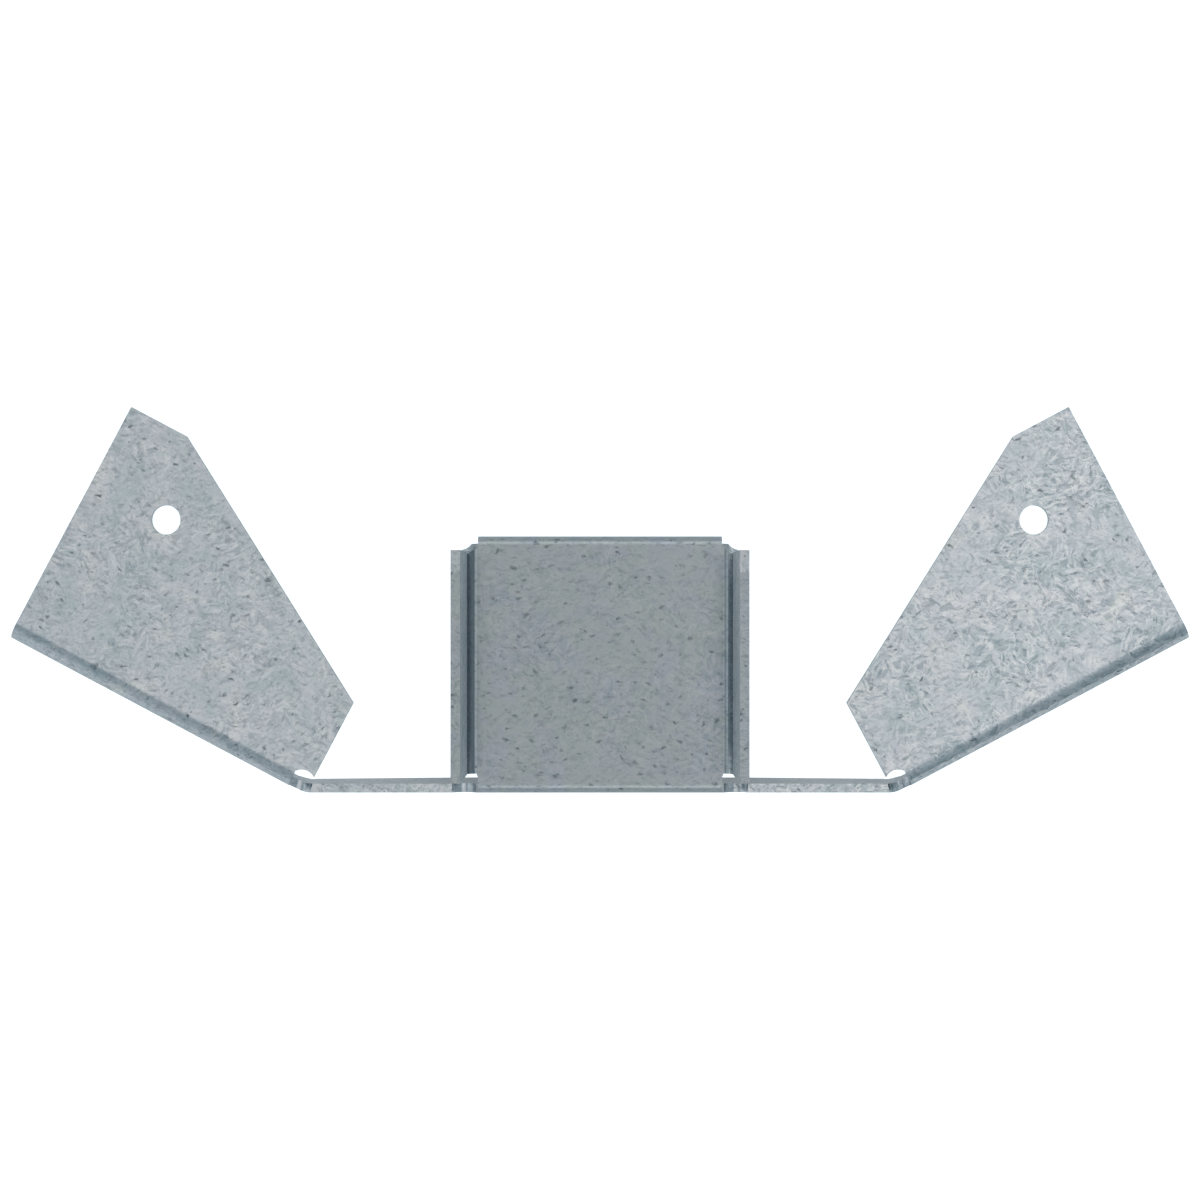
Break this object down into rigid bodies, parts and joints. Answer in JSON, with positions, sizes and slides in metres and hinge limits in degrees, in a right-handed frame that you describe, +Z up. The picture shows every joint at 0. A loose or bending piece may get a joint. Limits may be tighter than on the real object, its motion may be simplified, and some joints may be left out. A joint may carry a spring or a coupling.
{
  "type": "gazebo tie",
  "caption": "Folded galvanised sheet connector that ties a square post to two angled header beams, with a flanged post seat, a folded front strip and bolted wing plates.",
  "frame": {"origin": "middle of the seat plate's upper face, between the side flanges", "axes": "+X across from wing to wing, +Y from the front strip to the back flange, +Z up along the side flanges"},
  "size_m": [0.4048, 0.1324, 0.0953],
  "materials": {
    "galvanised_sheet": "hot-dip galvanised with a fine spangle"
  },
  "bodies": {
    "root": {"gazebo_tie": "galvanised_sheet"}
  },
  "joints": []
}
